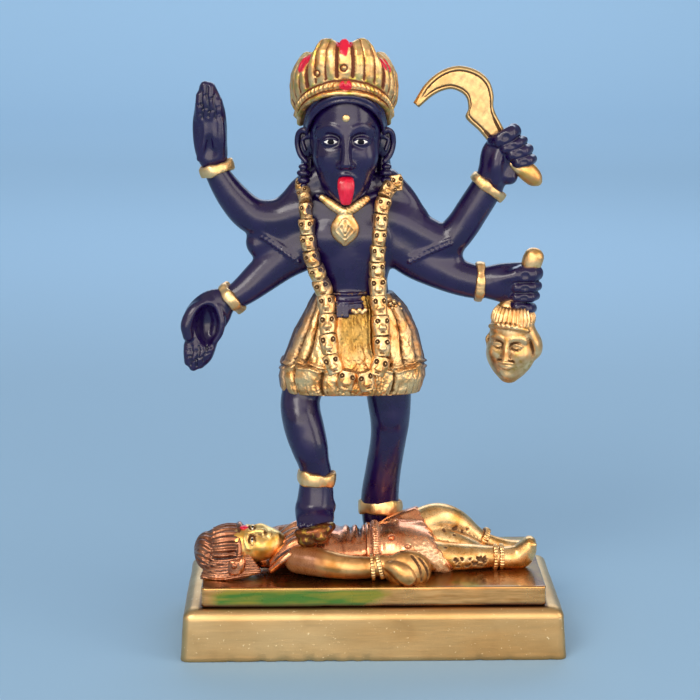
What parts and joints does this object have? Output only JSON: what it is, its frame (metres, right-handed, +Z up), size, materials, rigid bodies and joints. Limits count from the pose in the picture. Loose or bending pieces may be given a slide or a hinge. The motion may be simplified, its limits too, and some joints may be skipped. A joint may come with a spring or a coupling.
{
  "type": "kali figure",
  "caption": "Standing Kali with raised arms, sickle and severed head over a reclining Shiva, painted cast brass on a slab and a moulded plinth.",
  "frame": {"origin": "middle of the plinth's underside", "axes": "+X to the viewer's right, +Y away from the viewer, +Z up"},
  "size_m": [0.127, 0.06, 0.2004],
  "materials": {
    "black_enamel": "satin-gloss black enamel over brass, polished brass on the ornaments",
    "copper_lacquer": "polished brass under copper, gold and green lacquer",
    "polished_brass": "satin polished brass with fine scratches and casting pits"
  },
  "bodies": {
    "root": {"kali": "black_enamel", "shiva_on_slab": "copper_lacquer", "plinth": "polished_brass"}
  },
  "joints": []
}
